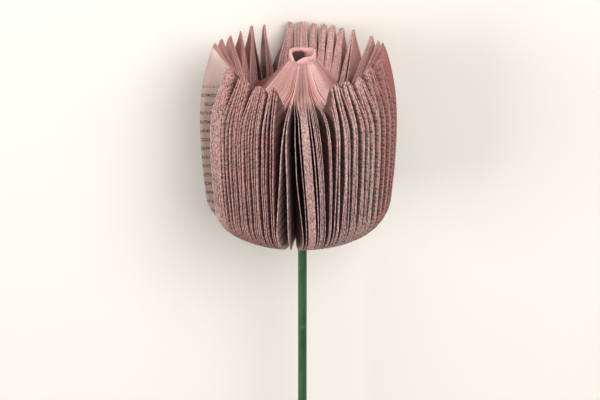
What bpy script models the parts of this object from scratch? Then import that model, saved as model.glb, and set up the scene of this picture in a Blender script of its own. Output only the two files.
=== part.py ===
"""Paper flower: a paperback's pages, cut to a tulip's outline, fanned round their spine and set on a stick.

The flower lies on its back, as it comes to rest on a table, its tip towards +Y and its stem towards -Y.
Its pieces are modelled standing, with the spine upright and the opening between the first and last
leaf at the front (-Y), and a parent empty then lays them down. Units are metres.
"""

import math

import bmesh
import bpy
from mathutils import Matrix, Vector

# The bloom's outline, in the plane of one leaf: distance from the bloom's axis, and height over its foot.
BELLY_RADIUS = 0.0442
BELLY_HEIGHT = 0.052
FOOT_RADIUS = 0.024
CORNER_RADIUS = 0.0421
CORNER_HEIGHT = 0.018
TIP_RADIUS = 0.0385
TIP_HEIGHT = 0.087
VALLEY_RADIUS = 0.0215
VALLEY_HEIGHT = 0.0620
PETAL_MIDDLE_RADIUS = 0.0305
PETAL_MIDDLE_RISE = 0.38
LEAF_ROOT_TOP = 0.0815
SHELF_RADIUS = 0.0400
SHELF_HEIGHT = 0.0660
SHELF_INNER_RADIUS = 0.0175
SHELF_INNER_HEIGHT = 0.0700
# How round the outer edge is below and above the belly: 2 is a parabola, more is fuller.
LOWER_CURVE = 2.0
UPPER_CURVE = 2.4
LOWER_STEPS = 3

# The leaves of the book, each fin a bunch of pages that cling together.
# They are spread evenly from one side of the opening round to the other, and one points straight back.
LEAF_COUNT = 61
BACK_LEAF = 31
LEAF_THICKNESS = 0.0005
OPENING_ANGLE = math.radians(14)
SHELF_ANGLE = math.radians(17)
FRONT_DROP = 0.006
FRONT_DROP_ANGLE = math.radians(62)
TIP_STAGGER = 0.0012

# The glued spine, curled into a tube round the stem, a little off the bloom's axis. Its top is the collar.
SPINE_OFFSET = 0.0018
SPINE_BORE = 0.0038
SPINE_RADIUS = 0.0062
SPINE_TOP = 0.0845
SPINE_SIDES = 48
NOTCH_ANGLE = math.radians(-45)
NOTCH_HALF_WIDTH = math.radians(38)
NOTCH_DEPTH = 0.0035
LEAF_ROOT = 0.0052

# The bottom leaves give a little where the bloom lies on them, which leaves a small flat.
FLAT_DISTANCE = 0.0420

# The stick and the glue that holds it in the spine.
STEM_RADIUS = 0.002
STEM_BELOW = 0.115
STEM_INSIDE = 0.072
STEM_SIDES = 32
STEM_CHAMFER = 0.0003
FIT_GAP = 0.0003
GLUE_BOTTOM = 0.0015
GLUE_TOP = 0.068

CURVE_STEPS = 6
MERGE_DISTANCE = 1e-6
SMOOTH_ANGLE = math.radians(35)


def arc_to_belly(start, steps, curve):
    """The points between start and the belly, both left out, on a curve that is upright at the belly."""
    points = []
    for step in range(1, steps):
        share = step / steps
        radius = BELLY_RADIUS + (start[0] - BELLY_RADIUS) * (1 - share) ** curve
        points.append((radius, start[1] + (BELLY_HEIGHT - start[1]) * share))
    return points


def outer_edge(tip):
    """The leaf's outer edge from the foot, round the corner and over the belly, up to the tip."""
    edge = [(FOOT_RADIUS, 0.0)]
    for step in range(1, CURVE_STEPS):
        turn = math.pi / 2 * step / CURVE_STEPS
        edge.append(
            (
                FOOT_RADIUS + (CORNER_RADIUS - FOOT_RADIUS) * math.sin(turn),
                CORNER_HEIGHT * (1 - math.cos(turn)),
            )
        )
    corner = (CORNER_RADIUS, CORNER_HEIGHT)
    edge.append(corner)
    edge += arc_to_belly(corner, LOWER_STEPS, LOWER_CURVE)
    edge.append((BELLY_RADIUS, BELLY_HEIGHT))
    edge += reversed(arc_to_belly(tip, CURVE_STEPS, UPPER_CURVE))
    edge.append(tip)
    return edge


def leaf_outline(azimuth, index):
    """The whole outline of one leaf. Next to the opening it ends in a low shelf instead of a petal."""
    turned = abs(azimuth)
    if turned < SHELF_ANGLE:
        outline = outer_edge((SHELF_RADIUS, SHELF_HEIGHT))
        outline.append((SHELF_INNER_RADIUS, SHELF_INNER_HEIGHT))
    else:
        drop = FRONT_DROP * max(0.0, 1 - (turned - SHELF_ANGLE) / FRONT_DROP_ANGLE)
        tip_height = TIP_HEIGHT - drop - TIP_STAGGER * (index % 2)
        outline = outer_edge((TIP_RADIUS, tip_height))
        middle_height = VALLEY_HEIGHT + (tip_height - VALLEY_HEIGHT) * PETAL_MIDDLE_RISE
        outline.append((PETAL_MIDDLE_RADIUS, middle_height))
        outline.append((VALLEY_RADIUS, VALLEY_HEIGHT))
    outline.append((SPINE_RADIUS, LEAF_ROOT_TOP))
    outline.append((LEAF_ROOT, LEAF_ROOT_TOP))
    outline.append((LEAF_ROOT, 0.0))
    return outline


def reach(azimuth):
    """How far the belly circle lies from the spine's own axis, in that direction."""
    along = SPINE_OFFSET * math.sin(azimuth)
    return -along + math.sqrt(along**2 + BELLY_RADIUS**2 - SPINE_OFFSET**2)


def add_leaf(block, azimuth, index):
    """Adds one closed leaf to the bmesh, on the spine in that direction; 0 is the front, + is right."""
    leaf = bmesh.new()
    stretch = (reach(azimuth) - LEAF_ROOT) / (BELLY_RADIUS - LEAF_ROOT)
    corners = [
        leaf.verts.new((LEAF_ROOT + (radius - LEAF_ROOT) * stretch, -LEAF_THICKNESS / 2, height))
        for radius, height in leaf_outline(azimuth, index)
    ]
    side = leaf.faces.new(corners)
    grown = bmesh.ops.extrude_face_region(leaf, geom=[side])
    far_side = [item for item in grown["geom"] if isinstance(item, bmesh.types.BMVert)]
    bmesh.ops.translate(leaf, verts=far_side, vec=(0, LEAF_THICKNESS, 0))
    turn = Matrix.Rotation(azimuth - math.pi / 2, 4, "Z")
    bmesh.ops.transform(leaf, matrix=Matrix.Translation((SPINE_OFFSET, 0, 0)) @ turn, verts=leaf.verts)
    flatten_back(leaf)
    bmesh.ops.recalc_face_normals(leaf, faces=leaf.faces)
    made = bpy.data.meshes.new("one_leaf")
    leaf.to_mesh(made)
    leaf.free()
    block.from_mesh(made)
    bpy.data.meshes.remove(made)


def flatten_back(leaf):
    """Cuts off what would reach below the table once the flower lies down, and closes the cut."""
    if max(corner.co.y for corner in leaf.verts) <= FLAT_DISTANCE:
        return
    everything = leaf.verts[:] + leaf.edges[:] + leaf.faces[:]
    cut = bmesh.ops.bisect_plane(
        leaf, geom=everything, plane_co=(0, FLAT_DISTANCE, 0), plane_no=(0, 1, 0), clear_outer=True
    )
    rim = [item for item in cut["geom_cut"] if isinstance(item, bmesh.types.BMEdge)]
    bmesh.ops.holes_fill(leaf, edges=rim)


def spine_tube():
    """The curled spine: a tube whose top edge dips where its two ends meet."""
    tube = bmesh.new()
    section = [(SPINE_BORE, 0.0), (SPINE_RADIUS, 0.0), (SPINE_RADIUS, SPINE_TOP), (SPINE_BORE, SPINE_TOP)]
    corners = [tube.verts.new((radius, 0, height)) for radius, height in section]
    edges = [tube.edges.new((corners[i], corners[(i + 1) % 4])) for i in range(4)]
    bmesh.ops.spin(
        tube,
        geom=corners + edges,
        cent=(0, 0, 0),
        axis=(0, 0, 1),
        angle=2 * math.pi,
        steps=SPINE_SIDES,
        use_merge=True,
    )
    bmesh.ops.remove_doubles(tube, verts=tube.verts, dist=MERGE_DISTANCE)
    bmesh.ops.recalc_face_normals(tube, faces=tube.faces)
    for corner in tube.verts:
        if corner.co.z > SPINE_TOP / 2:
            azimuth = math.atan2(corner.co.x, -corner.co.y)
            corner.co.z -= NOTCH_DEPTH * max(0.0, 1 - abs(azimuth - NOTCH_ANGLE) / NOTCH_HALF_WIDTH)
    bmesh.ops.translate(tube, verts=tube.verts, vec=(SPINE_OFFSET, 0, 0))
    return tube


def new_object(name, shape, material, parent):
    """Makes an object of the bmesh, with its material, hung on the parent."""
    mesh = bpy.data.meshes.new(name)
    shape.to_mesh(mesh)
    shape.free()
    mesh.materials.append(material)
    made = bpy.data.objects.new(name, mesh)
    made.parent = parent
    bpy.context.scene.collection.objects.link(made)
    return made


def new_material(name, colour, roughness):
    material = bpy.data.materials.new(name)
    material.use_nodes = True
    surface = material.node_tree.nodes["Principled BSDF"]
    surface.inputs["Base Color"].default_value = (*colour, 1)
    surface.inputs["Roughness"].default_value = roughness
    surface.inputs["Metallic"].default_value = 0.0
    return material


def make_page_block(parent):
    """The cut and fanned book: one solid, of the spine and all its leaves."""
    paper = new_material("pink_paper", (0.56, 0.30, 0.27), 0.9)
    block = new_object("page_block", spine_tube(), paper, parent)
    leaves = bmesh.new()
    pitch = (2 * math.pi - OPENING_ANGLE) / (LEAF_COUNT - 1)
    for index in range(LEAF_COUNT):
        azimuth = math.remainder(math.pi + (index - BACK_LEAF) * pitch, 2 * math.pi)
        add_leaf(leaves, azimuth, index)
    fan = new_object("leaf_fan", leaves, paper, parent)
    fan.hide_render = True
    fan.display_type = "WIRE"
    join = block.modifiers.new("leaves_on_spine", "BOOLEAN")
    join.operation = "UNION"
    join.solver = "EXACT"
    join.object = fan
    return block


def make_stem(parent):
    """The green stick, with both ends a little chamfered."""
    paint = new_material("green_paint", (0.05, 0.19, 0.10), 0.55)
    stick = bmesh.new()
    length = STEM_BELOW + STEM_INSIDE
    bmesh.ops.create_cone(
        stick, cap_ends=True, segments=STEM_SIDES, radius1=STEM_RADIUS, radius2=STEM_RADIUS, depth=length
    )
    rims = [edge for edge in stick.edges if len({round(corner.co.z, 6) for corner in edge.verts}) == 1]
    bmesh.ops.bevel(
        stick, geom=rims, offset=STEM_CHAMFER, segments=1, profile=0.5, affect="EDGES", material=-1
    )
    stem = new_object("stem", stick, paint, parent)
    stem.location = Vector((SPINE_OFFSET, 0, (STEM_INSIDE - STEM_BELOW) / 2))
    stem.data.shade_smooth()
    stem.data.set_sharp_from_angle(angle=SMOOTH_ANGLE)
    return stem


def make_glue_plug(parent):
    """The glue round the stick inside the spine, a plain ring with a hair of room on both sides."""
    glue = new_material("clear_glue", (0.72, 0.68, 0.58), 0.35)
    inner = STEM_RADIUS + FIT_GAP
    outer = SPINE_BORE - FIT_GAP
    ring = bmesh.new()
    section = [(inner, GLUE_BOTTOM), (outer, GLUE_BOTTOM), (outer, GLUE_TOP), (inner, GLUE_TOP)]
    corners = [ring.verts.new((radius, 0, height)) for radius, height in section]
    edges = [ring.edges.new((corners[i], corners[(i + 1) % 4])) for i in range(4)]
    bmesh.ops.spin(
        ring,
        geom=corners + edges,
        cent=(0, 0, 0),
        axis=(0, 0, 1),
        angle=2 * math.pi,
        steps=STEM_SIDES,
        use_merge=True,
    )
    bmesh.ops.remove_doubles(ring, verts=ring.verts, dist=MERGE_DISTANCE)
    bmesh.ops.recalc_face_normals(ring, faces=ring.faces)
    plug = new_object("glue_plug", ring, glue, parent)
    plug.location = Vector((SPINE_OFFSET, 0, 0))
    return plug


def main():
    for old in list(bpy.data.objects):
        bpy.data.objects.remove(old)
    lying = bpy.data.objects.new("lying_flower", None)
    bpy.context.scene.collection.objects.link(lying)
    lying.rotation_euler = (-math.pi / 2, 0, 0)
    lying.location = (0, (STEM_BELOW - TIP_HEIGHT) / 2, FLAT_DISTANCE)
    make_page_block(lying)
    make_stem(lying)
    make_glue_plug(lying)


main()
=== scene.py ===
"""A paper flower lying on a table: a paperback's pages, cut to a tulip's outline and fanned round their spine.

The CAD model is the frame. Everything here is in metres, in the frame's own axes: the stem lies along Y, the
petals point to +Y, and the opening between the first and the last page faces up, to +Z.
"""

import math
import random

import bmesh
import bpy
from mathutils import Matrix, Vector, noise


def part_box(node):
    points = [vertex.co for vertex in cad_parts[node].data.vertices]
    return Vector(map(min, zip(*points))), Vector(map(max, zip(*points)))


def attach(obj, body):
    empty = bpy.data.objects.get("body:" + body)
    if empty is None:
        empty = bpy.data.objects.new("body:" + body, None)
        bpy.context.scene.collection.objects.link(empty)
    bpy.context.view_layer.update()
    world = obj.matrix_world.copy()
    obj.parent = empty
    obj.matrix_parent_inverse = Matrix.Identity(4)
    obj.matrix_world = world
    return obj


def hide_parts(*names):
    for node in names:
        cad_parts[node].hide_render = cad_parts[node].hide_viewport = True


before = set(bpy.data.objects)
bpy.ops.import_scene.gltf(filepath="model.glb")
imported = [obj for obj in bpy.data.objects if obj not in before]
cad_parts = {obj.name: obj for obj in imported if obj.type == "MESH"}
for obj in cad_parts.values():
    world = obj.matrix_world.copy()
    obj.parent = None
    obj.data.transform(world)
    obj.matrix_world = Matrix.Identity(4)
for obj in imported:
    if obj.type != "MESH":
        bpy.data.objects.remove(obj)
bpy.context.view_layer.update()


# ---- The table and the camera --------------------------------------------------------------------------------
# The flower can't stand by itself, so it lies on its back on a pale matt table top. The camera looks down on it,
# square to the stem and tipped towards the petals, so that the flower seems to stand upright.

block_low, block_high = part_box("page_block")
stem_low, stem_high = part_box("stem")
AXIS_HEIGHT = (stem_low[2] + stem_high[2]) / 2
FOOT_Y = block_low[1]
BELLY_RADIUS = (block_high[0] - block_low[0]) / 2
BLOOM_X = (block_high[0] + block_low[0]) / 2
SPINE_X = (stem_low[0] + stem_high[0]) / 2
# The flower is modelled standing up, front to -Y, round the spine's axis; this lays it down where the CAD has it.
LAY_DOWN = Matrix.Translation((SPINE_X, FOOT_Y, AXIS_HEIGHT)) @ Matrix.Rotation(-math.pi / 2, 4, "X")

TABLE_COLOUR = (0.915, 0.895, 0.85, 1)
TABLE_SIZE = 6.0
VIEW_TIP = math.radians(21.5)
VIEW_DISTANCE = 1.5
VIEW_WIDTH = 0.2718
VIEW_RIGHT = 0.0007
VIEW_UP = 0.0134
SENSOR_WIDTH = 36.0


def add_object(name, shape):
    """Turns a bmesh into an object that sits at the origin, and puts it in the scene."""
    mesh = bpy.data.meshes.new(name)
    shape.to_mesh(mesh)
    shape.free()
    made = bpy.data.objects.new(name, mesh)
    bpy.context.scene.collection.objects.link(made)
    return made


def new_finish(name, roughness):
    """A node material: its node tree, its Principled shader and itself."""
    finish = bpy.data.materials.new(name)
    finish.use_nodes = True
    shader = finish.node_tree.nodes["Principled BSDF"]
    shader.inputs["Roughness"].default_value = roughness
    return finish, finish.node_tree, shader


table_shape = bmesh.new()
bmesh.ops.create_grid(table_shape, x_segments=1, y_segments=1, size=TABLE_SIZE / 2)
table = add_object("table", table_shape)
table_finish, _, table_shader = new_finish("pale_table", 0.9)
table_shader.inputs["Base Color"].default_value = TABLE_COLOUR
table.data.materials.append(table_finish)

camera_data = bpy.data.cameras.new("camera")
camera_data.sensor_width = SENSOR_WIDTH
camera_data.lens = SENSOR_WIDTH * VIEW_DISTANCE / VIEW_WIDTH
camera = bpy.data.objects.new("camera", camera_data)
look_at = Vector((BLOOM_X + VIEW_RIGHT, FOOT_Y + VIEW_UP, AXIS_HEIGHT))
camera.location = look_at + VIEW_DISTANCE * Vector((0, math.sin(VIEW_TIP), math.cos(VIEW_TIP)))
camera.rotation_euler = (-VIEW_TIP, 0, 0)
bpy.context.scene.collection.objects.link(camera)
bpy.context.scene.camera = camera


# ---- The pages -----------------------------------------------------------------------------------------------
# Some 290 thin leaves, all cut to one outline: a flat foot, a round corner, a full belly, a pointed petal tip, and
# a deep notch between the petal and the middle. Each is a sheet glued to the spine by its inner edge. In the ring
# of petals the tips cling together in bunches, and lower down the leaves fan out again.

# The cut outline. A pair is a distance from the spine's axis and a height over the foot.
ROOT_RADIUS = 0.0058
FOOT_RADIUS = 0.0240
CORNER_RADIUS = 0.0421
CORNER_HEIGHT = 0.0180
BELLY_HEIGHT = 0.0520
TIP_RADIUS = 0.0385
PETAL_SHOULDER = 2.1
ROOT_TOP = 0.0815
CONE_FOOT = (0.0155, 0.0702)
SHELF_END = (0.0350, 0.0664)
SHELF_TIP = (0.0412, 0.0625)
# Where along a leaf's lower edge the flat foot ends, and along its upper edge the cone and the notch.
FOOT_SHARE = 0.36
CONE_SHARE = 0.32
NOTCH_SHARE = 0.50
SHELF_SHARE = 0.80

# How the leaves are spread. Azimuths are in degrees round the spine: 0 is the front, plus is right.
LEAF_PITCH = 1.22
RING_START = 18.8
RING_END = 344.5
LEAN = 28.0
LEAN_START = 13.0
LEAN_PEAK = 113.0
LEAF_THICKNESS = 0.00032
ROOT_THINNING = 0.38
LEAF_COLUMNS = 13
LEAF_ROWS = 20
ROW_CROWDING = 0.85
LINE_PITCH = 0.00423
# Where the bloom lies on the table: how far the edges stay off it, and how far they fold over.
TABLE_GAP = 0.0003
FOLD_OVER = 0.8


def mix(low, high, share):
    """The value that share of the way from low to high."""
    return low + (high - low) * share


def ease(low, high, value):
    """0 at low and 1 at high, with an even S-curve between. low may be the larger of the two."""
    share = min(1.0, max(0.0, (value - low) / (high - low)))
    return share * share * (3 - 2 * share)


def foot_side(share):
    """The leaf's lower edge, from the spine along the flat foot and round the corner."""
    if share < FOOT_SHARE:
        return Vector((mix(ROOT_RADIUS, FOOT_RADIUS, share / FOOT_SHARE), 0.0))
    turn = (share - FOOT_SHARE) / (1 - FOOT_SHARE) * math.pi / 2
    return Vector((mix(FOOT_RADIUS, CORNER_RADIUS, math.sin(turn)), CORNER_HEIGHT * (1 - math.cos(turn))))


def outer_side(leaf, share):
    """The leaf's outer edge, from the corner over the belly to the tip."""
    tip = leaf["tip"]
    height = mix(CORNER_HEIGHT, tip[1], share**ROW_CROWDING)
    if height < BELLY_HEIGHT:
        drop = (BELLY_HEIGHT - height) / (BELLY_HEIGHT - CORNER_HEIGHT)
        return Vector((BELLY_RADIUS - (BELLY_RADIUS - CORNER_RADIUS) * drop**2, height))
    rise = (height - BELLY_HEIGHT) / (tip[1] - BELLY_HEIGHT)
    return Vector((BELLY_RADIUS - (BELLY_RADIUS - tip[0]) * rise**PETAL_SHOULDER, height))


def top_side(leaf, share):
    """The leaf's upper edge, from the spine down the cone to the notch, and up the petal to the tip."""
    chain = [Vector((ROOT_RADIUS, ROOT_TOP)), Vector(CONE_FOOT), Vector(leaf["notch"]), Vector(leaf["tip"])]
    chain[1].y -= leaf["sunk"]
    stops = (0.0, CONE_SHARE, SHELF_SHARE if leaf["shelf"] else NOTCH_SHARE, 1.0)
    for step in range(3):
        if share <= stops[step + 1]:
            part = (share - stops[step]) / (stops[step + 1] - stops[step])
            reached = chain[step].lerp(chain[step + 1], part)
            if step == 2:
                reached.y = mix(chain[2].y, chain[3].y, part ** leaf["bow"])
            return reached


def on_leaf(leaf, across, up):
    """A point of the flat leaf, as radius and height: a patch stretched between its four edges."""
    foot, top = foot_side(across), top_side(leaf, across)
    root = Vector((ROOT_RADIUS, ROOT_TOP * up))
    outer = outer_side(leaf, up)
    between = foot.lerp(top, up) + root.lerp(outer, across)
    corners = foot_side(0).lerp(foot_side(1), across).lerp(top_side(leaf, 0).lerp(top_side(leaf, 1), across), up)
    return between - corners


# Between these heights a leaf goes over from its foot's azimuth to its belly's, and up to GATHERED to its tip's;
# between these radii it bends away from its root's; and from OUTER_PART on its edge curls and waves.
FANNED = (0.004, 0.045)
GATHERED = 0.083
BENT = (0.008, 0.041)
OUTER_PART = 0.022
WAVES_UP = 40
WAVES_OUT = 30


def standing_place(leaf, radius, height):
    """Where a point of the leaf is once the leaf is fanned out and bent."""
    low = ease(*FANNED, height)
    high = ease(leaf["gather_from"], GATHERED, height)
    outer = mix(mix(leaf["foot_at"], leaf["belly_at"], low), leaf["tip_at"], high)
    azimuth = math.radians(mix(leaf["root_at"], outer, ease(*BENT, radius)))
    # The spine stands a little to one side of the bloom's middle, so leaves reach further on the other side.
    across = SPINE_X - BLOOM_X
    along = across * math.sin(azimuth)
    reach = -along + math.sqrt(along**2 + BELLY_RADIUS**2 - across**2)
    stretch = (reach - ROOT_RADIUS) / (BELLY_RADIUS - ROOT_RADIUS)
    out = ROOT_RADIUS + (radius - ROOT_RADIUS) * stretch
    edge = max(0.0, (radius - OUTER_PART) / (BELLY_RADIUS - OUTER_PART))
    wave = noise.noise(Vector((leaf["seed"], height * WAVES_UP, radius * WAVES_OUT)))
    aside = edge**2 * (leaf["curl"] + leaf["wave"] * wave)
    forward = Vector((math.sin(azimuth), -math.cos(azimuth), 0))
    sideways = Vector((math.cos(azimuth), math.sin(azimuth), 0))
    spot = forward * out + sideways * aside + Vector((0, 0, height))
    # Where the bloom lies on the table, the outer edge of the leaf folds over to one side.
    pressed = spot.y - (AXIS_HEIGHT - TABLE_GAP)
    if pressed > 0:
        spot.y -= pressed
        spot.x += pressed * FOLD_OVER
    return spot


# The shader reads these from the leaf: its own tint, how far it is a leaf of the inside (which sets its painted
# shade), how bare it is, and how much deep rose it has, partly stain and partly painted shade.
LEAF_FACTS = ("tint", "inner", "pale", "rosy")
# The glued root of a leaf is thinner than the loose part, which starts out here.
THINNED = (0.006, 0.026)


def add_leaf(pages, leaf):
    """Adds one leaf to a piece of many: a grid bent to shape, with its page coordinates and its own facts."""
    sheet = bmesh.new()
    bmesh.ops.create_grid(sheet, x_segments=LEAF_COLUMNS, y_segments=LEAF_ROWS, size=0.5)
    page_map = sheet.loops.layers.uv.new("page")
    facts = [sheet.verts.layers.float.new(fact) for fact in LEAF_FACTS]
    depth = sheet.verts.layers.float.new("depth")
    thickness = sheet.verts.layers.deform.verify()
    flat = {}
    for corner in sheet.verts:
        across, up = corner.co.x + 0.5, corner.co.y + 0.5
        radius, height = on_leaf(leaf, across, up)
        flat[corner] = (radius, height)
        for layer, fact in zip(facts, LEAF_FACTS):
            corner[layer] = leaf[fact]
        # How deep the point lies behind the cut edge, in millimetres.
        corner[depth] = 1000 * min(outer_side(leaf, up).x - radius, height - foot_side(across).y)
        corner[thickness][0] = leaf["thick"] * mix(ROOT_THINNING, 1.0, ease(*THINNED, radius))
        corner.co = standing_place(leaf, radius, height)
    for face in sheet.faces:
        for loop in face.loops:
            radius, height = flat[loop.vert]
            loop[page_map].uv = (radius * 10, (height + leaf["line_shift"]) * 10)
    bmesh.ops.transform(sheet, matrix=LAY_DOWN, verts=sheet.verts)
    made = bpy.data.meshes.new("one_leaf")
    sheet.to_mesh(made)
    sheet.free()
    pages.from_mesh(made)
    bpy.data.meshes.remove(made)


def leaned(root):
    """The azimuth at the belly of a leaf that leaves the spine at this one: the sides lean to the back."""
    turned = abs(root)
    if turned < LEAN_START:
        share = 0.0
    elif turned < LEAN_PEAK:
        share = (turned - LEAN_START) / (LEAN_PEAK - LEAN_START)
    else:
        share = (180 - turned) / (180 - LEAN_PEAK)
    return root + math.copysign(LEAN * share, root)


# At the far left, the leaves from one azimuth to another are swept forward, and crowd beyond a third. That bares
# the face of the leaf behind them, which is paler than the rest over this many degrees.
STRIP_LEAF = 273.5
SWEPT_END = 307.0
SWEPT_TO = 296.0
STRIP_WIDTH = 3.3

# The bunches of the petal ring, from the right of the opening round the back to its left: where the tip is, how
# high it stands, how full the petal is (under 1 is round, over 1 is slender), how much of their spread the tips
# of its leaves keep, how far the outermost tips of a bunch stand below its middle one, how far round from its
# tip the middle of the bunch's leaves is lower down, and how far out and how high the notch is cut.
BUNCHES = [
    (22.5, 0.0816, 0.48, 0.65, 0.0018, 4.0, 0.0290, 0.0655),
    (31.0, 0.0818, 0.50, 0.65, 0.0022, 6.0, 0.0280, 0.0650),
    (41.5, 0.0825, 0.55, 0.65, 0.0028, 7.0, 0.0260, 0.0640),
    (53.0, 0.0856, 0.80, 0.55, 0.0032, 6.5, 0.0240, 0.0630),
    (66.0, 0.0868, 0.90, 0.45, 0.0030, 5.0, 0.0215, 0.0620),
    (80.0, 0.0866, 1.00, 0.40, 0.0020, 3.0, 0.0205, 0.0610),
    (93.0, 0.0862, 1.10, 0.35, 0.0015, 1.0, 0.0205, 0.0610),
    (104.0, 0.0858, 1.20, 0.30, 0.0010, 0.0, 0.0210, 0.0610),
    (113.0, 0.0850, 1.30, 0.30, 0.0010, 0.0, 0.0220, 0.0610),
    (123.0, 0.0850, 1.30, 0.30, 0.0010, 0.0, 0.0230, 0.0610),
    (142.5, 0.0850, 0.95, 0.15, 0.0010, 2.5, 0.0225, 0.0610),
    (152.0, 0.0848, 0.60, 0.66, 0.0016, 0.0, 0.0205, 0.0620),
    (159.0, 0.0854, 0.60, 0.66, 0.0016, 0.0, 0.0205, 0.0620),
    (165.5, 0.0854, 0.60, 0.66, 0.0016, 0.0, 0.0205, 0.0620),
    (172.0, 0.0856, 0.60, 0.66, 0.0016, 0.0, 0.0205, 0.0620),
    (179.0, 0.0858, 0.60, 0.80, 0.0004, 0.0, 0.0205, 0.0620),
    (188.5, 0.0860, 0.85, 0.25, 0.0010, 7.0, 0.0215, 0.0610),
    (206.0, 0.0856, 1.30, 0.15, 0.0006, -2.0, 0.0290, 0.0600),
    (215.5, 0.0862, 1.10, 0.15, 0.0006, 2.0, 0.0325, 0.0600),
    (225.0, 0.0850, 1.20, 0.20, 0.0010, 2.0, 0.0285, 0.0610),
    (235.0, 0.0845, 1.40, 0.30, 0.0010, 1.0, 0.0230, 0.0610),
    (246.0, 0.0850, 1.40, 0.30, 0.0010, 0.0, 0.0220, 0.0610),
    (259.0, 0.0862, 1.20, 0.30, 0.0010, 0.0, 0.0210, 0.0610),
    (272.0, 0.0870, 0.90, 0.35, 0.0020, 0.0, 0.0210, 0.0620),
    (288.0, 0.0864, 0.80, 0.50, 0.0030, 0.0, 0.0220, 0.0630),
    (304.5, 0.0848, 0.65, 0.55, 0.0028, -3.0, 0.0240, 0.0640),
    (319.0, 0.0833, 0.55, 0.62, 0.0028, -4.0, 0.0270, 0.0650),
    (331.5, 0.0806, 0.45, 0.66, 0.0024, -3.0, 0.0290, 0.0655),
    (341.5, 0.0812, 0.42, 0.66, 0.0018, -1.0, 0.0295, 0.0660),
]

# Where the ring stands open behind: the middle of each gap, and how far the leaves beside it are pushed away.
GAPS = [(136.0, 7.0), (209.5, 4.5)]
GAP_REACH = 14.0
# The back bunches' leaves cling so closely that each bunch looks like one broad picket.
PICKETS = (148.0, 184.0)

dice = random.Random(7)


def new_leaf(root, foot, belly, tip_at, **other):
    """One leaf's facts; what isn't said is as on most leaves."""
    leaf = {
        "root_at": root,
        "foot_at": foot,
        "belly_at": belly,
        "tip_at": tip_at,
        "inner": 0.0,
        "pale": 0.0,
        "rosy": 0.0,
        # One leaf in seven lies lower, which leaves a slit in the cone.
        "sunk": 0.0014 if dice.random() < 0.14 else dice.uniform(0.0, 0.0002),
        "shelf": False,
        "curl": dice.uniform(-0.0003, 0.0003),
        "wave": 0.0007,
        "seed": dice.uniform(0, 1000),
        "tint": dice.random(),
        "thick": dice.uniform(0.55, 1.0),
        "line_shift": dice.uniform(0, LINE_PITCH),
    }
    leaf.update(other)
    return leaf


def swept_left(belly):
    """Some leaves at the far left are swept forward, which bares the face of the one behind them."""
    if STRIP_LEAF < belly < SWEPT_END:
        return SWEPT_TO + (belly - STRIP_LEAF) * (SWEPT_END - SWEPT_TO) / (SWEPT_END - STRIP_LEAF)
    return belly


def parted(belly):
    """Leaves beside a gap of the ring stand away from it."""
    for middle, push in GAPS:
        away = belly - middle
        if abs(away) < GAP_REACH:
            return belly + math.copysign(push * (1 - abs(away) / GAP_REACH), away)
    return belly


# The azimuths of the far right of the ring, where the leaves cling in larger bundles, and of the places where a
# deep rose, partly stain and partly painted shade, fades in and out, there and at the front left.
FAR_RIGHT = (45, 100)
FAR_RIGHT_CLING = 0.25
ROSE_RIGHT_IN = (50, 62)
ROSE_RIGHT_OUT = (112, 96)
ROSE_LEFT_IN = (300, 312)
# Either way round from the opening, the ring's first leaves are lower; further on, the inner faces come to show and
# get painted shade.
RISING = (21, 14.5)
OPENING_DROP = 0.0060
INNER_FROM = (70, 92)
# Up to this height a leaf of the ring is fanned out, and from here on it bends towards its bunch's tip.
RING_GATHERS = 0.058
# On the right and at the back the inner faces get less painted shade, and least where one leaf stands alone in a gap.
INNER_RIGHT_TO = 196
LONE_LEAF = (140, 149)


def bundle_sizes(belly):
    """How many leaves may cling together at the belly."""
    if FAR_RIGHT[0] < belly < FAR_RIGHT[1]:
        return (4, 4, 5)
    return (2, 2, 3, 3, 4) if belly < 180 else (1, 2, 2, 3)


def inner_share(belly):
    """How much painted shade the inner face of a ring leaf gets."""
    share = ease(*INNER_FROM, min(belly, 360 - belly)) * dice.choice((0.6, 1.0, 1.0))
    if belly < INNER_RIGHT_TO:
        share *= 0.25 if LONE_LEAF[0] < belly < LONE_LEAF[1] else 0.5
    return share


def ring_thickness(belly):
    """How thick a ring leaf is drawn, as a share of LEAF_THICKNESS."""
    if PICKETS[0] < belly < PICKETS[1]:
        return dice.uniform(1.3, 1.6)
    return dice.uniform(0.9, 1.4) if belly < 180 else dice.uniform(0.6, 1.1)


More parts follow.
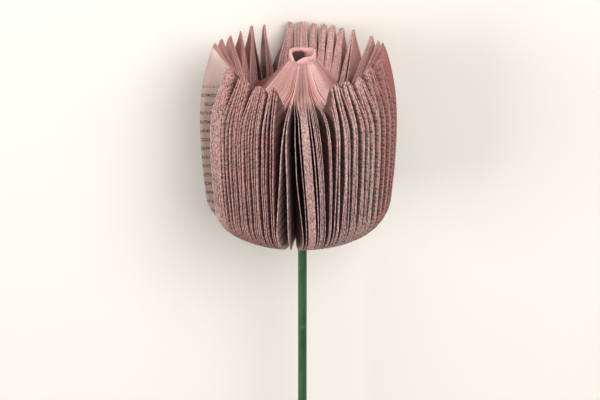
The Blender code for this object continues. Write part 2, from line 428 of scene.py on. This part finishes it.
def ring_leaves():
    """The leaves that end in a petal tip, from right of the opening round to its left."""
    leaves = []
    root = RING_START
    bundle_left = 0
    bundle_at = 0.0
    while root < RING_END:
        signed = root if root <= 180 else root - 360
        belly = parted(swept_left(leaned(signed) % 360))
        near = min(range(len(BUNCHES)), key=lambda one: abs(BUNCHES[one][0] + BUNCHES[one][5] - belly))
        petal_at, petal_height, fullness, tip_spread, arch, aside, notch_radius, notch_height = BUNCHES[near]
        beside = BUNCHES[min(max(near + (1 if belly > petal_at else -1), 0), len(BUNCHES) - 1)]
        half_width = max(2.5, abs(beside[0] - petal_at) / 2)
        off_centre = (belly - petal_at - aside) / half_width
        if bundle_left == 0:
            bundle_left = dice.choice(bundle_sizes(belly))
            bundle_at = belly + (bundle_left - 1) * 0.5 * LEAF_PITCH
        bundle_left -= 1
        cling = dice.uniform(0.42, 0.62) if belly < 180 else dice.uniform(0.30, 0.55)
        if FAR_RIGHT[0] < belly < FAR_RIGHT[1]:
            cling += FAR_RIGHT_CLING
        belly_at = mix(belly, bundle_at, cling) + dice.uniform(-0.12, 0.12)
        foot_at = mix(belly, bundle_at, cling * 0.6) + dice.uniform(-0.4, 0.4)
        tip_at = petal_at + (mix(belly, belly_at, 0.6) - petal_at - aside) * tip_spread + dice.uniform(-0.2, 0.2)
        drop = arch * off_centre**2 + dice.uniform(0, 0.0004)
        low = ease(*RISING, min(belly, 360 - belly))
        inner = inner_share(belly)
        thick = ring_thickness(belly)
        # A deep rose on the far right and the front left, partly stain and partly painted shade.
        right_rose_and_shade = 0.85 * ease(*ROSE_RIGHT_IN, belly) * ease(*ROSE_RIGHT_OUT, belly)
        leaves.append(
            new_leaf(
                (signed if signed >= 0 else signed + 360) + dice.uniform(-0.35, 0.35),
                foot_at,
                belly_at,
                tip_at,
                tip=(TIP_RADIUS + dice.uniform(-0.0005, 0.0003), petal_height - drop - OPENING_DROP * low),
                bow=fullness * dice.uniform(0.95, 1.05),
                notch=(notch_radius, mix(notch_height, SHELF_END[1], low)),
                gather_from=RING_GATHERS,
                inner=inner,
                rosy=right_rose_and_shade + 0.55 * ease(*ROSE_LEFT_IN, belly),
                thick=thick,
                pale=1.0 if STRIP_LEAF - STRIP_WIDTH < belly < STRIP_LEAF + 0.1 else 0.0,
            )
        )
        root += LEAF_PITCH
    return leaves


# What the low leaves beside the opening have in common: they end in a shelf and hardly wave.
SHELF = {"tip": SHELF_TIP, "notch": SHELF_END, "shelf": True, "bow": 1.6, "gather_from": 0.03}
# The loose ones, by the azimuth of the root, of the foot's and the belly's outer edge, and of the top. The first two
# are a little paler than the rest.
LOOSE_LEAVES = [
    (-14.5, -16.4, -13.5, -10.6),
    (-13.3, -8.4, -8.6, -9.6),
    (-12.0, 0.8, -3.4, -5.4),
    (-10.8, 2.9, 0.6, -3.6),
    (6.5, 10.0, 8.0, 3.4),
    (8.0, 11.6, 10.2, 5.2),
    (9.5, 12.4, 11.0, 6.4),
    (11.0, 13.4, 12.0, 7.8),
    (12.5, 14.6, 13.0, 9.0),
    (15.0, 16.9, 16.2, 14.6),
    (17.0, 17.6, 17.0, 15.6),
]
PALER_LEAVES = 2
# The ones pressed into a flat band right of the opening: the same four azimuths for its first and its last leaf.
BAND_LEAVES = 12
BAND_FIRST = (-9.5, 4.4, 1.8, -1.8)
BAND_LAST = (5.0, 8.6, 6.3, 2.2)


def opening_leaves():
    """The leaves beside the opening, which end in a low shelf. The opening is narrow at the top and wide below."""
    leaves = []
    for number, azimuths in enumerate(LOOSE_LEAVES):
        leaves.append(new_leaf(*azimuths, wave=0.0002, pale=0.35 if number < PALER_LEAVES else 0.0, **SHELF))
    for number in range(BAND_LEAVES):
        share = number / (BAND_LEAVES - 1)
        azimuths = [mix(first, last, share) for first, last in zip(BAND_FIRST, BAND_LAST)]
        leaves.append(new_leaf(*azimuths, wave=0.0, curl=0.0, rosy=0.5, **SHELF))
    return leaves


# Every leaf of the ring belongs to one of these pieces, by the azimuth of its belly.
PAGE_GROUPS = [
    ("pages_front_right", 19.5, 60),
    ("pages_right", 60, 110),
    ("pages_back_right", 110, 152),
    ("pages_back", 152, 197),
    ("pages_back_left", 197, 240),
    ("pages_left", 240, 300),
    ("pages_front_left", 300, 345),
]

ring = ring_leaves()
groups = {"pages_opening": opening_leaves()}
for name, start, end in PAGE_GROUPS:
    groups[name] = [leaf for leaf in ring if start <= leaf["belly_at"] % 360 < end]


def math_node(tree, kind, *inputs):
    """A Math node; numbers are set on it, and sockets are linked to it. Gives back its output."""
    node = tree.nodes.new("ShaderNodeMath")
    node.operation = kind
    for slot, value in zip(node.inputs, inputs):
        if isinstance(value, (int, float)):
            slot.default_value = value
        else:
            tree.links.new(value, slot)
    return node.outputs[0]


def product(tree, *factors):
    """The product of two or more sockets or numbers."""
    result = factors[0]
    for factor in factors[1:]:
        result = math_node(tree, "MULTIPLY", result, factor)
    return result


def larger(tree, first, second):
    return math_node(tree, "MAXIMUM", first, second)


def scaled(tree, value, factor, offset):
    """value * factor + offset."""
    return math_node(tree, "MULTIPLY_ADD", value, factor, offset)


def rest_of(tree, share):
    """1 - share."""
    return math_node(tree, "SUBTRACT", 1.0, share)


def range_node(tree, value, low, high, to_low=0.0, to_high=1.0):
    """A smooth Map Range from low..high to to_low..to_high."""
    node = tree.nodes.new("ShaderNodeMapRange")
    node.interpolation_type = "SMOOTHSTEP"
    tree.links.new(value, node.inputs["Value"])
    node.inputs["From Min"].default_value = low
    node.inputs["From Max"].default_value = high
    node.inputs["To Min"].default_value = to_low
    node.inputs["To Max"].default_value = to_high
    return node.outputs["Result"]


def noise_node(tree, vector, scale, detail=2.0, roughness=0.5):
    """A Noise Texture on that vector; gives back its value."""
    node = tree.nodes.new("ShaderNodeTexNoise")
    tree.links.new(vector, node.inputs["Vector"])
    node.inputs["Scale"].default_value = scale
    node.inputs["Detail"].default_value = detail
    node.inputs["Roughness"].default_value = roughness
    return node.outputs["Fac"]


def stretched(tree, scale):
    """The object's own coordinates, multiplied by a scale on each axis."""
    node = tree.nodes.new("ShaderNodeMapping")
    node.inputs["Scale"].default_value = scale
    tree.links.new(tree.nodes.new("ShaderNodeTexCoord").outputs["Object"], node.inputs["Vector"])
    return node.outputs[0]


def colour_mix(tree, share, first, second):
    """Mixes two colours, each a colour or a socket."""
    node = tree.nodes.new("ShaderNodeMix")
    node.data_type = "RGBA"
    if isinstance(share, (int, float)):
        node.inputs[0].default_value = share
    else:
        tree.links.new(share, node.inputs[0])
    for slot, value in ((node.inputs[6], first), (node.inputs[7], second)):
        if isinstance(value, tuple):
            slot.default_value = value
        else:
            tree.links.new(value, slot)
    return node.outputs[2]


def bumped(tree, shader, height, strength):
    """Gives the shader a fine relief."""
    node = tree.nodes.new("ShaderNodeBump")
    node.inputs["Strength"].default_value = strength
    node.inputs["Distance"].default_value = 0.0002
    tree.links.new(height, node.inputs["Height"])
    tree.links.new(node.outputs["Normal"], shader.inputs["Normal"])


def attribute_node(tree, name):
    """What a mesh says about itself under that name."""
    node = tree.nodes.new("ShaderNodeAttribute")
    node.attribute_name = name
    return node.outputs["Fac"]


def combine(tree, x, y, z):
    """A vector made of three numbers or sockets."""
    node = tree.nodes.new("ShaderNodeCombineXYZ")
    for slot, value in zip(node.inputs, (x, y, z)):
        if isinstance(value, (int, float)):
            slot.default_value = value
        else:
            tree.links.new(value, slot)
    return node.outputs[0]


# The paper where it took little stain, more and most (the last also painted shade on some leaves), and where it is
# bare; painted shade on the inner faces and between two leaves; and print, and the cut edge's painted highlight with
# its specks, which are the ends of the lines of print.
PAPER_PLAIN = (0.50, 0.34, 0.295, 1)
PAPER_PINK = (0.61, 0.295, 0.275, 1)
PAPER_ROSE = (0.38, 0.14, 0.13, 1)
PAPER_BARE = (0.92, 0.78, 0.72, 1)
INNER_FACE_SHADE = (0.21, 0.066, 0.061, 1)
PAINTED_GAP_SHADE = (0.085, 0.040, 0.035, 1)
INK = (0.035, 0.028, 0.030, 1)
EDGE_HIGHLIGHT = (0.97, 0.66, 0.64, 1)
EDGE_SPECK = (0.12, 0.06, 0.07, 1)
# The specks are longer up and down the bloom than across it.
SPECK_SCALE = (1900.0, 750.0, 1900.0)
# Lengths on the page are in millimetres here, like the depth behind the cut edge.
MARGIN = (21.0, 23.0)
CONE_ACROSS = (27.0, 21.0)
CONE_UP = (61.0, 67.0)


def page_print(tree, facts, across, upward):
    """Where there is ink: rows of dashes, one line apart, that stop at the margin and on a bare inner top."""
    tint, inner, pale, _, depth = facts
    rows = math_node(tree, "DIVIDE", upward, LINE_PITCH * 1000)
    row = math_node(tree, "FLOOR", rows)
    in_row = math_node(tree, "FRACT", rows)
    # Ink fills the middle of each line's pitch.
    band = product(tree, range_node(tree, in_row, 0.18, 0.25), range_node(tree, in_row, 0.62, 0.54))
    # Near the cut edge, print on the back of the sheet shows through between the rows.
    through = product(tree, range_node(tree, in_row, 0.70, 0.76), range_node(tree, in_row, 0.97, 0.90))
    near_edge = product(tree, range_node(tree, depth, 3.2, 2.2), rest_of(tree, pale))
    band = larger(tree, band, product(tree, through, near_edge))
    # Fine noise breaks each row into strokes and coarse noise into words, in another way on every row and leaf.
    row_seed = scaled(tree, row, 7.31, product(tree, tint, 531.0))
    strokes_at = combine(tree, product(tree, across, 0.80), scaled(tree, in_row, 1.8, row_seed), 0.0)
    strokes = range_node(tree, noise_node(tree, strokes_at, 2.9, 1.0, 0.5), 0.44, 0.51)
    words_at = combine(tree, product(tree, across, 0.16), row_seed, 3.0)
    words = range_node(tree, noise_node(tree, words_at, 1.3, 0.0), 0.30, 0.36)
    # The bare top starts at a slightly different height on each leaf.
    uneven_top = range_node(tree, scaled(tree, tint, 9.0, upward), 69.0, 73.0)
    bare_top = product(tree, uneven_top, range_node(tree, inner, 0.0, 0.25))
    margin = range_node(tree, across, *MARGIN)
    return product(tree, band, strokes, words, rest_of(tree, bare_top), margin, scaled(tree, pale, -0.1, 1.0))


def page_stain(tree, facts, place, across, upward, cone):
    """The paper's colour: an uneven stain, stronger on the cone and at the top, a deep rose that is partly painted
    shade, and painted shade deep between the leaves and on the inner faces.
    """
    tint, inner, pale, rosy, depth = facts
    stain = noise_node(tree, place, 90.0, 4.0, 0.6)
    blotch = math_node(tree, "ADD", range_node(tree, stain, 0.36, 0.64), scaled(tree, tint, 0.7, -0.15))
    paper = colour_mix(tree, range_node(tree, blotch, 0.15, 1.2), PAPER_PINK, PAPER_PLAIN)
    # The brush went over the cone and the tips more than once.
    top_pink = larger(tree, product(tree, range_node(tree, upward, 62.0, 82.0), 0.5), cone)
    paper = colour_mix(tree, product(tree, top_pink, 0.85), paper, PAPER_PINK)
    # Blotches of deep rose stain, and where the leaf has it, a deep rose that is partly painted shade.
    rose = larger(tree, product(tree, range_node(tree, stain, 0.56, 0.36), 0.35), rosy)
    paper = colour_mix(tree, rose, paper, PAPER_ROSE)
    paper = colour_mix(tree, product(tree, pale, 0.9), paper, PAPER_BARE)
    # Painted shade between the leaves: it gets darker from the cut edge inwards, but not on the cone, and not on the
    # upper part of an inner face.
    inner_top = product(tree, range_node(tree, inner, 0.0, 0.25), range_node(tree, upward, 64.0, 70.0))
    off_cone = larger(tree, range_node(tree, across, 24.0, 31.0), range_node(tree, upward, 69.0, 61.0))
    deep = product(tree, range_node(tree, depth, 0.3, 2.6), scaled(tree, pale, -0.70, 0.78))
    deep = product(tree, deep, rest_of(tree, inner_top), off_cone)
    paper = colour_mix(tree, deep, paper, PAINTED_GAP_SHADE)
    # Painted shade on the inner faces, strongest low down.
    inner_shade = product(tree, range_node(tree, upward, 95.0, 79.0), inner, 0.9)
    return colour_mix(tree, inner_shade, paper, INNER_FACE_SHADE)


def page_finish(name, is_edge):
    """Thin book paper, stained pink with a brush and printed with rows of dashes. A cut edge gets a pale painted
    highlight and specks.
    """
    finish, tree, shader = new_finish(name, 0.85)
    uv = tree.nodes.new("ShaderNodeUVMap")
    uv.uv_map = "page"
    split = tree.nodes.new("ShaderNodeSeparateXYZ")
    tree.links.new(uv.outputs["UV"], split.inputs[0])
    facts = [attribute_node(tree, fact) for fact in (*LEAF_FACTS, "depth")]
    _, inner, _, rosy, _ = facts
    place = tree.nodes.new("ShaderNodeTexCoord").outputs["Object"]
    across = product(tree, split.outputs["X"], 100.0)
    upward = product(tree, split.outputs["Y"], 100.0)
    cone = product(tree, range_node(tree, across, *CONE_ACROSS), range_node(tree, upward, *CONE_UP))
    paper = page_stain(tree, facts, place, across, upward, cone)
    if is_edge:
        speck = range_node(tree, noise_node(tree, stretched(tree, SPECK_SCALE), 1.0, 2.0, 0.75), 0.48, 0.54)
        # Fewer specks on the cone and on the inner leaves.
        strength = math_node(tree, "SUBTRACT", scaled(tree, cone, -0.62, 0.72), product(tree, inner, 0.5))
        # The cut edge is painted pale as a highlight, less on the inner and the rose leaves.
        edge_highlight = scaled(tree, rosy, -0.35, scaled(tree, inner, -0.55, 0.75))
        paper = colour_mix(tree, edge_highlight, paper, EDGE_HIGHLIGHT)
        paper = colour_mix(tree, product(tree, speck, larger(tree, strength, 0.1)), paper, EDGE_SPECK)
        tree.links.new(paper, shader.inputs["Base Color"])
        return finish
    ink = page_print(tree, facts, across, upward)
    tree.links.new(colour_mix(tree, product(tree, ink, 0.88), paper, INK), shader.inputs["Base Color"])
    bumped(tree, shader, noise_node(tree, place, 900.0, 3.0, 0.6), 0.25)
    return finish


page_paper = page_finish("printed_stained_page_with_painted_shade", False)
page_edge = page_finish("cut_page_edge_with_painted_highlight", True)

for name, some in groups.items():
    shape = bmesh.new()
    for leaf in some:
        add_leaf(shape, leaf)
    pages = add_object(name, shape)
    pages.vertex_groups.new(name="thickness")
    pages.data.materials.append(page_paper)
    pages.data.materials.append(page_edge)
    pages.data.shade_smooth()
    thick = pages.modifiers.new("paper_thickness", "SOLIDIFY")
    thick.thickness = LEAF_THICKNESS
    thick.offset = 0.0
    thick.material_offset_rim = 1
    thick.vertex_group = "thickness"
    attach(pages, "root")
    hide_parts("page_block")


# ---- The spine -----------------------------------------------------------------------------------------------
# The book's glued back, curled round into a tube. Its top stands proud of the pages as a pink collar whose two
# ends meet in a notch at the front left; inside, its bore is painted dark as shade.

SPINE_BORE = 0.0042
SPINE_OUTER = 0.0062
SPINE_LOW = 0.0005
SPINE_MIDDLE = 0.040
COLLAR_FROM = 0.0790
SPINE_TOP = 0.0845
SPINE_SIDES = 64
NOTCH_AT = math.radians(-38)
NOTCH_WIDTH = math.radians(42)
NOTCH_DEPTH = 0.0034
# The rim is a little higher on two sides, lower at the front, and rippled all round.
RIM_HIGH_AT = math.radians(-95)
RIM_LIFT = 0.0003
RIM_LOW_AT = 0.3
RIM_DROP = 0.0011
RIM_RIPPLE = 0.0006


def collar_height(azimuth):
    """How far the collar's rim stands over or under SPINE_TOP at that azimuth."""
    notch = max(0.0, 1 - abs(azimuth - NOTCH_AT) / NOTCH_WIDTH)
    lift = RIM_LIFT * math.cos(azimuth - RIM_HIGH_AT) ** 2 - RIM_DROP * max(0.0, math.cos(azimuth - RIM_LOW_AT))
    ripple = RIM_RIPPLE * noise.noise(Vector((math.cos(azimuth) * 2, math.sin(azimuth) * 2, 3.1)))
    return lift + ripple - NOTCH_DEPTH * notch**1.3


tube = bmesh.new()
# The wall's cut, as radius and height: up the outside, over the rounded rim and down the bore.
section = [
    (SPINE_BORE, SPINE_LOW),
    (SPINE_OUTER, SPINE_LOW),
    (SPINE_OUTER, SPINE_MIDDLE),
    (SPINE_OUTER, 0.0795),
    (SPINE_OUTER + 0.0001, 0.0815),
    (SPINE_OUTER, 0.0830),
    (SPINE_OUTER - 0.0002, SPINE_TOP),
    (SPINE_OUTER - 0.0012, SPINE_TOP - 0.0001),
    (SPINE_BORE + 0.0002, 0.0825),
    (SPINE_BORE, COLLAR_FROM),
    (SPINE_BORE, SPINE_MIDDLE),
]
corners = [tube.verts.new((radius, 0, height)) for radius, height in section]
edges = [tube.edges.new((corners[i], corners[(i + 1) % len(corners)])) for i in range(len(corners))]
bmesh.ops.spin(
    tube, geom=corners + edges, cent=(0, 0, 0), axis=(0, 0, 1), angle=2 * math.pi, steps=SPINE_SIDES, use_merge=True
)
bmesh.ops.remove_doubles(tube, verts=tube.verts, dist=1e-6)
bmesh.ops.recalc_face_normals(tube, faces=tube.faces)
# The bore is painted dark as shade, darkest on its left.
shaded = tube.verts.layers.float.new("shaded")
for corner in tube.verts:
    is_inside = math.hypot(corner.co.x, corner.co.y) < SPINE_BORE + 0.0003
    corner[shaded] = ease(0.0032, -0.0008, corner.co.x) * 0.75 + 0.25 if is_inside else 0.0
    azimuth = math.atan2(corner.co.x, -corner.co.y)
    corner.co.z += ease(COLLAR_FROM, SPINE_TOP, corner.co.z) * collar_height(azimuth)
bmesh.ops.transform(tube, matrix=LAY_DOWN, verts=tube.verts)
spine = add_object("spine", tube)
spine.data.shade_smooth()

SPINE_PINK = (0.82, 0.45, 0.43, 1)
SPINE_DULL = (0.66, 0.365, 0.36, 1)
SPINE_SPECK = (0.24, 0.16, 0.19, 1)
BORE_SHADE = (0.07, 0.035, 0.035, 1)

spine_finish, tree, shader = new_finish("stained_spine_with_painted_bore_shade", 0.8)
place = tree.nodes.new("ShaderNodeTexCoord").outputs["Object"]
stain = range_node(tree, noise_node(tree, place, 260.0, 4.0, 0.6), 0.35, 0.65)
speck = range_node(tree, noise_node(tree, place, 1300.0, 1.0, 0.5), 0.60, 0.68)
bore = range_node(tree, attribute_node(tree, "shaded"), 0.25, 0.85)
colour = colour_mix(tree, stain, SPINE_PINK, SPINE_DULL)
colour = colour_mix(tree, product(tree, speck, 0.5), colour, SPINE_SPECK)
colour = colour_mix(tree, bore, colour, BORE_SHADE)
tree.links.new(colour, shader.inputs["Base Color"])
spine.data.materials.append(spine_finish)
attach(spine, "root")
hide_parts("page_block")


# ---- The stem ------------------------------------------------------------------------------------------------
# A 4 mm craft stick with one coat of green paint, brushed on lengthwise, a little thin in places.

GREEN_THICK = (0.014, 0.074, 0.028, 1)
GREEN_USUAL = (0.034, 0.142, 0.056, 1)
GREEN_THIN = (0.10, 0.28, 0.15, 1)
BRUSH_SCALE = (1200.0, 60.0, 1200.0)

stem_finish, tree, shader = new_finish("green_painted_stick", 0.45)
place = tree.nodes.new("ShaderNodeTexCoord").outputs["Object"]
brushed = noise_node(tree, stretched(tree, BRUSH_SCALE), 1.0, 4.0, 0.6)
thin_places = range_node(tree, noise_node(tree, place, 120.0, 3.0, 0.6), 0.62, 0.75, 0.0, 0.5)
colour = colour_mix(tree, range_node(tree, brushed, 0.3, 0.7), GREEN_THICK, GREEN_USUAL)
colour = colour_mix(tree, thin_places, colour, GREEN_THIN)
tree.links.new(colour, shader.inputs["Base Color"])
bumped(tree, shader, brushed, 0.4)
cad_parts["stem"].data.materials.clear()
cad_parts["stem"].data.materials.append(stem_finish)


# ---- The glue ------------------------------------------------------------------------------------------------
# Cloudy craft glue, poured round the stick inside the curled spine and left to dry.

GLUE_CLOUDED = (0.66, 0.60, 0.47, 1)
GLUE_CLEAR = (0.78, 0.73, 0.62, 1)

glue_finish, tree, shader = new_finish("dried_glue", 0.35)
place = tree.nodes.new("ShaderNodeTexCoord").outputs["Object"]
cloud = range_node(tree, noise_node(tree, place, 300.0, 3.0, 0.6), 0.35, 0.65)
colour = colour_mix(tree, cloud, GLUE_CLOUDED, GLUE_CLEAR)
tree.links.new(colour, shader.inputs["Base Color"])
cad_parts["glue_plug"].data.materials.clear()
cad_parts["glue_plug"].data.materials.append(glue_finish)


# ---- The light -----------------------------------------------------------------------------------------------
# Plain soft studio light: a large lamp over the bloom's upper right, one nearly as strong at its left, a low one
# behind the petal tips that shines into the bloom, and a pale room.

ROOM_COLOUR = (1.0, 0.965, 0.92, 1)
ROOM_STRENGTH = 0.28
# Name, place, watts, width and colour of each lamp.
LAMPS = [
    ("key_lamp", (0.50, 0.65, 1.25), 15.0, 0.9, (1.0, 0.97, 0.93)),
    ("fill_lamp", (-1.20, 0.05, 0.95), 11.0, 0.9, (1.0, 0.96, 0.92)),
    ("back_lamp", (0.0, 1.3, 0.45), 5.0, 0.7, (1.0, 0.97, 0.94)),
]

scene = bpy.context.scene
scene.view_settings.view_transform = "Standard"
room = bpy.data.worlds.new("pale_room")
room.use_nodes = True
room.node_tree.nodes["Background"].inputs["Color"].default_value = ROOM_COLOUR
room.node_tree.nodes["Background"].inputs["Strength"].default_value = ROOM_STRENGTH
scene.world = room

for name, place, watts, width, colour in LAMPS:
    lamp = bpy.data.lights.new(name, "AREA")
    lamp.energy = watts
    lamp.size = width
    lamp.color = colour
    holder = bpy.data.objects.new(name, lamp)
    holder.location = place
    holder.rotation_euler = (look_at - Vector(place)).to_track_quat("-Z", "Y").to_euler()
    scene.collection.objects.link(holder)
